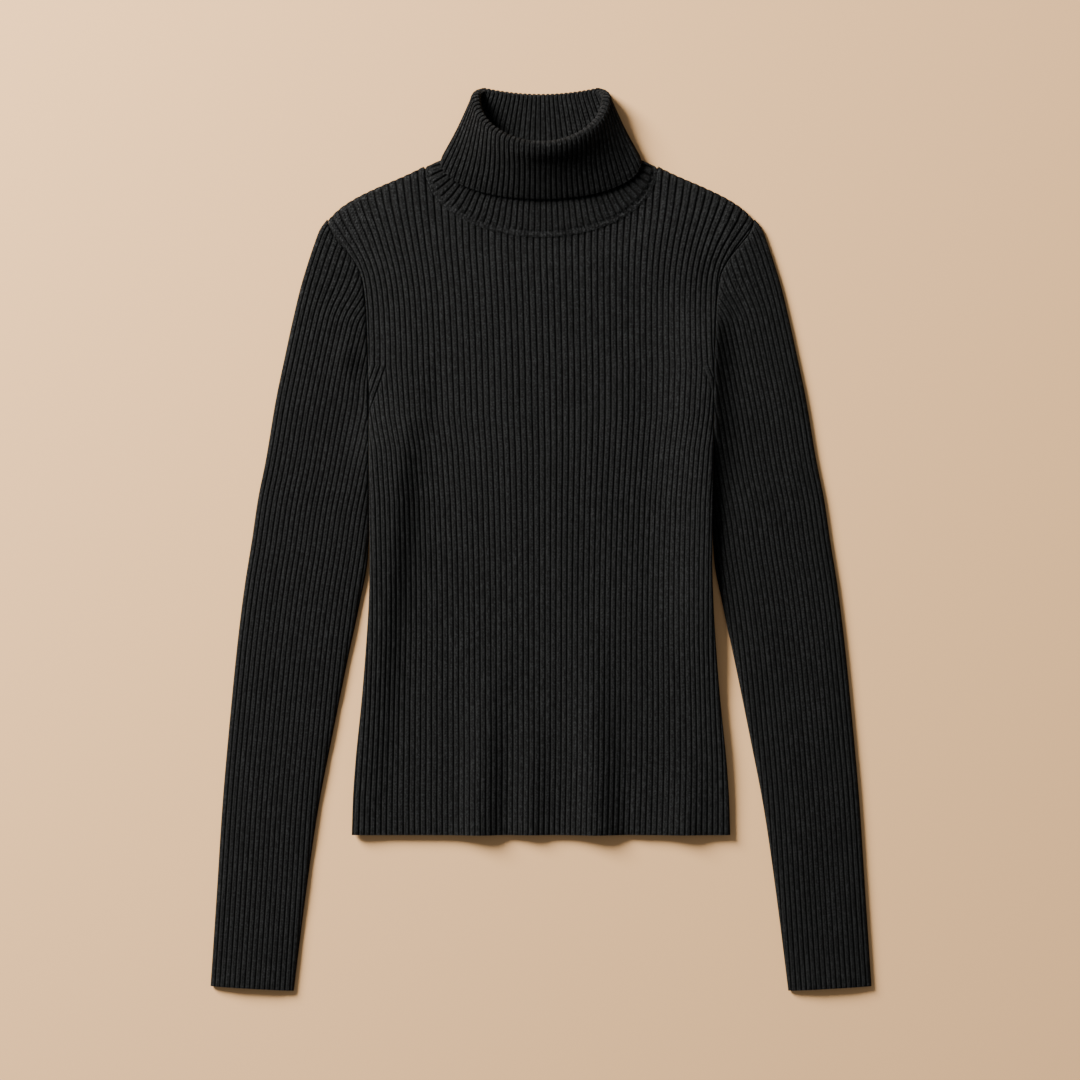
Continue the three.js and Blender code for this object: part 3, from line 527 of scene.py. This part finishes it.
def makeSleeve(name, side, pull, dimples):
    # One sheet wrapped round the arm: its columns run from the inner edge over the top,
    # round the outer fold and back under to the inner edge, where the armhole leaves it open.
    # pull moves the ribs by the armhole: how far at some heights.
    length = sleeveRun[-1]
    run = np.append(np.linspace(length, 0, int(length / sleeve["rowStep"])), 0)[:-1]
    row = {key: curve(run)[:, None] for key, curve in sleeveCurves.items()}
    alongArmhole = (row["fold"] == 0) & (row["inY"] > body["underarmY"])
    row["inX"] = np.where(alongArmhole, bodyEdge(row["inY"]) + sleeve["seamGap"], row["inX"])
    acrossX, acrossY = row["inX"] - row["outX"], row["inY"] - row["outY"]
    width = np.hypot(acrossX, acrossY)
    acrossX, acrossY = acrossX / width, acrossY / width
    fold = np.where(row["fold"] > 0.99, 1.0, row["fold"])
    topRibs = math.ceil(width.max() / sleeve["ribPitch"])
    uneven = waves(6, (60, 160), 0.3)

    def place(distance):
        return row["outX"] + acrossX * distance, row["outY"] + acrossY * distance

    def topLift(distance, x, y):
        inside = np.clip(np.minimum(distance, blend(30, width - distance, fold)) / 26, 0, 1)
        opening = sleeve["cuffLift"] * np.exp(-((length - run[:, None]) / 18) ** 2)
        total = sleeve["puff"] + opening + uneven(x, y)
        for atX, atY, halfX, halfY, height in dimples:
            total = total + height * np.exp(-((x - atX) / halfX) ** 2 - ((y - atY) / halfY) ** 2)
        return total * smooth(inside)

    rib = ribPlaces(-topRibs, topRibs, sleeve["ribPhases"])[::-1]
    count = np.abs(rib)[None, :]
    fan = sleeve["capFan"] * smooth((row["outY"] - sleeve["capFrom"]) / sleeve["capRun"])
    shift = curveThrough(*zip(*pull))(row["outY"])

    def spread(count):
        straight = sleeve["ribPitch"] * count
        pulled = shift * np.exp(-np.abs(width - straight) / 18) * smooth(count / 3)
        return np.clip(straight + sleeve["ribPitch"] * fan * np.maximum(count - 2, 0) + pulled, 0, width)

    distance = spread(count)
    x, y = place(distance)
    start = spread(np.floor(count))
    room = spread(np.floor(count) + 1) - start
    phase = np.clip((distance - start) / np.maximum(room, 1e-6), 0, 1)
    shown = smooth((room - 0.5) / 3)
    raised = sleeve["ribRelief"] * shown * ribProfile(phase, sleeve["ribPower"])

    def seamRise(distance, y):
        # by the armhole the cloth climbs to the edge of the body
        stand = rightStand(y) if side > 0 else leftStand(y)
        return stand * (1 - fold) * np.clip(1 - (width - distance) / sleeve["climb"], 0, 1) ** 2

    def rounding(reach):
        outer = np.sqrt(1 - (1 - np.clip(distance / reach, 0, 1)) ** 2)
        inner = np.sqrt(1 - (1 - np.clip((width - distance) / reach, 0, 1)) ** 2)
        return outer * blend(1, inner, fold)

    seam = blend(blend(0.55, 1, smooth((width - distance) / 1.6)), 1, fold)
    atCuff = smooth((length - run[:, None]) / 1.5 + 0.45)
    crown = (sleeve["grooveZ"] - sleeve["foldZ"]) * seam + raised * atCuff + topLift(distance, x, y)
    topZ = sleeve["foldZ"] + crown * rounding(sleeve["topRounding"])
    bottomZ = blend(sleeve["foldZ"], sleeve["ribRelief"] - raised, rounding(sleeve["underRounding"]))
    z = np.where(rib[None, :] >= 0, topZ, bottomZ) + seamRise(distance, y)
    course = length - run[:, None]
    cloth = knitCloth()
    outer = cloth.add(np.stack([x * side, y, z], -1), np.abs(rib)[None, :], course, shown)

    inRib = np.array([topRibs, 20, 16, 12, 8, 4, 2, 1, 0, -1, -2, -4, -8, -12, -16, -20, -topRibs])
    inset = np.minimum(sleeve["hollowInset"], width / 2)
    farEnd = blend(width, width - inset, fold)
    distance = np.clip(np.abs(inRib)[None, :] * sleeve["ribPitch"], inset, farEnd)
    x, y = place(distance)
    middle = (sleeve["hollowLow"] + sleeve["hollowHigh"]) / 2
    half = (sleeve["hollowHigh"] - sleeve["hollowLow"]) / 2
    wide = smooth((distance - inset) / 2) * blend(1, smooth((farEnd - distance) / 2), fold)
    z = middle + np.where(inRib[None, :] >= 0, half + topLift(distance, x, y), -half) * wide
    z = z + seamRise(distance, y)
    inner = cloth.add(np.stack([x * side, y, z], -1), np.abs(inRib)[None, :], course)
    flip = side < 0
    cloth.net(outer, flip=flip)
    cloth.net(inner, flip=not flip)
    ends = ((topRibs - inRib) * len(sleeve["ribPhases"])).tolist()
    cloth.zip(outer[0], inner[0], ends, flip=not flip)
    cloth.zip(outer[-1], inner[-1], ends, flip=flip)
    opened = np.nonzero(fold[:, 0] < 1)[0]
    opened = np.append(opened[0] - 1, opened)
    for column, turned in ((0, True), (-1, False)):
        pair = np.stack([outer[opened, column], inner[opened, column]], -1)
        cloth.net(pair, flip=turned != flip)
    return cloth.makeObject(name)


# The collar.

collar = {
    "wall": 1.4, "relief": 0.95, "ribPower": 2.2, "thinning": 0.8,
    "frontRibs": 20, "backRibs": 16, "foldRun": 13, "foldPlace": 3.8,
    "ribPhases": [0, .06, .16, .32, .5, .68, .84, .94],
    "ringStep": 3.2, "rollStep": 1.0, "bandHeight": 0.15,
    "edgeLift": 0.3,
}
collarRings = makeTable(
    "half front side back corner zFront zSide zBack crowd innerRibs outerRibs", [
        (104.0, 272.2, 336.2, 333.0, 4, 4.8, 4.2, 1.0, -0.15, 0, 0),      # neck seam
        (100.0, 276.5, 338.2, 335.2, 5, 5.0, 4.6, 1.5, -0.13, 0, 0),      # seam band
        (98.9, 277.6, 338.8, 335.8, 5, 4.6, 4.8, 1.7, -0.13, 1, 1),       # stand start
        (84.8, 304.0, 345.4, 341.8, 6, 5.0, 6.0, 3.0, 0, 1, 1),           # stand low
        (81.3, 310.0, 351.0, 348.0, 6, 5.9, 6.3, 3.0, 0, 1, 0.6),         # under the edge
        (69.5, 329.0, 373.0, 371.0, 6, 14.0, 7.8, 3.0, 0.04, 1, 0),       # stand middle
        (56.5, 347.5, 399.0, 394.5, 6, 23.0, 9.8, 3.0, 0.08, 1, 0),       # stand top
        (54.0, 351.6, 403.4, 398.0, 6.5, 26.6, 11.6, 2.8, 0.1, 1, 0),     # roll inside
        (56.5, 353.4, 405.2, 399.6, 7, 29.9, 13.8, 1.9, 0.1, 1, 0),       # roll crest
        (60.2, 350.4, 404.4, 398.6, 7, 32.1, 14.2, 1.0, 0.1, 1, 0),       # roll outside
        (62.8, 344.4, 398.4, 394.0, 7, 30.2, 13.4, 0.8, 0.08, 1, 0),      # fold top
        (68.4, 336.4, 386.0, 382.0, 7, 23.2, 12.0, 0.8, 0.04, 1, 0),      # under the roll
        (74.2, 326.6, 373.8, 370.6, 7, 17.3, 10.8, 0.8, 0, 1, 0),         # fold middle
        (89.8, 306.0, 344.4, 342.6, 6, 7.9, 9.0, 0.8, -0.04, 1, 0),       # free edge
    ])
ringRun = np.append(0, np.cumsum(np.hypot(np.diff(collarRings["front"]), np.diff(collarRings["zFront"]))))
crestRing = 8


def ringPath(ring):
    # From the front middle round one side to the back middle, where the layers fold over.
    turn = np.linspace(0, math.pi / 2, 41)
    rise = ring["side"] - ring["corner"] - ring["front"]

    def drop(past):
        return smooth((past - collar["foldPlace"]) / collar["foldRun"] + 0.5)

    frontZ = blend(ring["zSide"], ring["zFront"], np.cos(turn))
    front = [ring["half"] * np.sin(turn), ring["front"] + rise * (1 - np.cos(turn)),
             blend(frontZ, ring["zBack"], drop(rise * (turn - math.pi / 2)))]
    corner = [ring["half"] - ring["corner"] * (1 - np.cos(turn)), ring["side"] - ring["corner"] * (1 - np.sin(turn)),
              blend(ring["zSide"], ring["zBack"], drop(ring["corner"] * turn))]
    across = np.linspace(1, 0, 41)
    past = ring["corner"] * math.pi / 2 + (ring["half"] - ring["corner"]) * (1 - across)
    back = [(ring["half"] - ring["corner"]) * across, blend(ring["back"], ring["side"], across ** 2),
            blend(ring["zSide"], ring["zBack"], drop(past))]
    return np.concatenate([np.stack(front, -1), np.stack(corner, -1)[1:], np.stack(back, -1)[1:]])


def ringPoints(ring, rib):
    path = ringPath(ring)
    lengths = np.append(0, np.cumsum(np.linalg.norm(np.diff(path, axis=0), axis=1)))
    atSide, total = lengths[40], lengths[-1]
    whole = 2 * (collar["frontRibs"] + collar["backRibs"])
    half = np.minimum(rib, whole - rib)
    share = np.minimum(half / collar["frontRibs"], 1)
    frontWalk = atSide * share * (1 + ring["crowd"] * (1 - share))
    backWalk = blend(atSide, total, (half - collar["frontRibs"]) / collar["backRibs"])
    walk = np.where(half < collar["frontRibs"], frontWalk, backWalk)
    points = np.stack([np.interp(walk, lengths, path[:, axis]) for axis in range(3)], -1)
    points[:, 0] *= np.where(rib > whole / 2, -1, 1)
    return points


def makeCollar():
    whole = 2 * (collar["frontRibs"] + collar["backRibs"])
    rib = ribPlaces(0, whole, collar["ribPhases"])
    run = []
    for i in range(len(ringRun) - 1):
        step = collar["rollStep"] if 6 <= i < 10 or i == 0 else collar["ringStep"]
        pieces = max(2, round((ringRun[i + 1] - ringRun[i]) / step))
        run.extend(np.linspace(ringRun[i], ringRun[i + 1], pieces, endpoint=False))
    run = np.array(run + [ringRun[-1]])
    curves = {name: curveThrough(ringRun, collarRings[name]) for name in collarRings}
    rings = [{name: float(curve(r)) for name, curve in curves.items()} for r in run]
    middle = np.stack([ringPoints(ring, rib) for ring in rings])
    around = np.roll(middle[:, :-1], -1, 1) - np.roll(middle[:, :-1], 1, 1)
    around = np.concatenate([around, around[:, :1]], 1)
    along = np.gradient(middle, axis=0)
    normal = np.cross(around, along)
    normal /= np.linalg.norm(normal, axis=-1, keepdims=True)
    runGrid = run[:, None]
    z = middle[..., 2]
    onFold = smooth((runGrid - ringRun[9]) / 8)
    faceUp = smooth((-normal[..., 2] - 0.2) / 0.4)
    toEdge = smooth((runGrid - ringRun[12]) / (ringRun[13] - ringRun[12]))
    fromMiddle = np.minimum(rib, whole - rib)
    signed = np.where(rib > whole / 2, -fromMiddle, fromMiddle)
    rightSide = np.exp(-((signed - 11) / 6) ** 2) * smooth(fromMiddle / 6)
    lift = collar["edgeLift"] * toEdge * rightSide[None, :] * faceUp
    middle = middle - normal * (lift * onFold)[..., None]

    level = smooth(np.abs(normal[..., 2]) * 2 - 1)
    creased = np.where(runGrid < ringRun[crestRing], level, 1)
    lying = smooth((z - collar["wall"] / 2) / 0.8)
    shown = {name: curves[name](runGrid) for name in ("innerRibs", "outerRibs")}
    top = collar["relief"] * ribProfile(rib - np.floor(rib), collar["ribPower"])[None, :]
    squeezed = collar["wall"] / 2 * collar["thinning"] * (1 - creased)
    endRound = smooth((ringRun[-1] - runGrid) / 1.6 + 0.4)
    band = collar["bandHeight"] * np.exp(-((runGrid - 1.9) / 1.5) ** 4)
    inner = collar["wall"] / 2 * blend(0.7, 1, endRound) + top * shown["innerRibs"] * lying * creased * endRound - squeezed
    outer = collar["wall"] / 2 * blend(0.7, 1, endRound) + top * shown["outerRibs"] * np.where(normal[..., 2] > 0, level, 0)
    outer = outer + band * np.where(normal[..., 2] > 0, level, 0)
    innerPoints = middle - normal * inner[..., None]
    outerPoints = middle + normal * outer[..., None]
    innerPoints[..., 2] = np.maximum(innerPoints[..., 2], 0)
    outerPoints[..., 2] = np.maximum(outerPoints[..., 2], 0)
    cloth = knitCloth()
    insideIndex = cloth.add(innerPoints, rib[None, :], runGrid, shown["innerRibs"])
    outsideIndex = cloth.add(outerPoints, rib[None, :], runGrid, shown["outerRibs"])
    cloth.net(insideIndex, flip=True)
    cloth.net(outsideIndex)
    cloth.net(np.stack([outsideIndex[0], insideIndex[0]]), flip=True)
    cloth.net(np.stack([outsideIndex[-1], insideIndex[-1]]))
    return cloth.makeObject("collar_knit")


# The pieces in the frame.

bodyWool = knitMaterial("merino_rib_body", wool)
sleeveWool = knitMaterial("merino_rib_sleeve", sleeveWoolLook)
# the collar's darker colour and deeper groove darkening are painted shade
collarWool = knitMaterial("merino_rib_collar_painted_shade", collarLookWithPaintedShade)

pieces = [
    (makeFront(), "front_panel", "body_knit", bodyWool, (0.383, 0.600), "laid", ["back_panel_knit"]),
    (makeBack(), "back_panel", "body_knit", bodyWool, (0.383, 0.600), "laid", []),
    (makeSleeve("sleeve_left_knit", 1, [(72, 0), (127, 1.5), (162, 0)], []), "sleeve_left", "sleeve_knit", sleeveWool, (0.212, 0.705), "laid", []),
    (makeSleeve("sleeve_right_knit", -1, [(72, 0), (127, 4), (162, -1.2), (198, 0), (228, 1), (248, 0)],
                [(177, 166, 9, 14, 2.0), (160, 152, 8, 12, -2.2)]),
     "sleeve_right", "sleeve_knit", sleeveWool, (0.212, 0.705), "laid", []),
    (makeCollar(), "collar", "collar_knit", collarWool, (0.46, 0.145), "folded", ["front_panel_knit", "back_panel_knit"]),
]
for piece, node, slotName, material, flat, held, restsOn in pieces:
    piece.data.materials.append(material)
    area = measure(piece)
    faces = sum(len(face.vertices) - 2 for face in piece.data.polygons)
    print(f"{piece.name}: {faces} triangles, cloth {area:.4f} m2 of flat {flat[0] * flat[1]:.4f}")
    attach(piece, "root")
    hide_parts(node)

# Floor, light and camera.

stage = {"floor": "#eaba84", "floorSize": 6.0, "keyPlace": (-2.55, 2.14, 1.62), "keyPower": 566, "keySize": 1.64,
         "fill": 0.2}

bpy.ops.object.select_all(action="DESELECT")
bpy.ops.mesh.primitive_plane_add(size=stage["floorSize"], location=(0, 0, -0.0002))
floor = bpy.context.active_object
floor.name = "floor"
floorPaint = bpy.data.materials.new("matt_floor")
floorPaint.use_nodes = True
floorShader = floorPaint.node_tree.nodes["Principled BSDF"]
floorShader.inputs["Base Color"].default_value = linear(stage["floor"])
floorShader.inputs["Roughness"].default_value = 0.8
floor.data.materials.append(floorPaint)


def addSoftbox(name, place, size, power, colour):
    bpy.ops.object.light_add(type="AREA", location=place)
    lamp = bpy.context.active_object
    lamp.name = name
    lamp.data.shape = "DISK"
    lamp.data.size = size
    lamp.data.energy = power
    lamp.data.color = linear(colour)[:3]
    toMiddle = -lamp.location
    lamp.rotation_euler = toMiddle.to_track_quat("-Z", "Y").to_euler()


addSoftbox("key", stage["keyPlace"], stage["keySize"], stage["keyPower"], "#fffaf2")
world = bpy.data.worlds.new("studio")
world.use_nodes = True
world.node_tree.nodes["Background"].inputs["Color"].default_value = linear("#ffffff")
world.node_tree.nodes["Background"].inputs["Strength"].default_value = stage["fill"]
bpy.context.scene.world = world

bpy.ops.object.camera_add(location=(-0.0009, 0, 2.5), rotation=(0, 0, 0))
camera = bpy.context.active_object
camera.data.sensor_width = 36
camera.data.lens = 36 * 2.5 / 0.972      # the photo is 1080 px of 0.9 mm
bpy.context.scene.camera = camera

print("scene: stage ready")
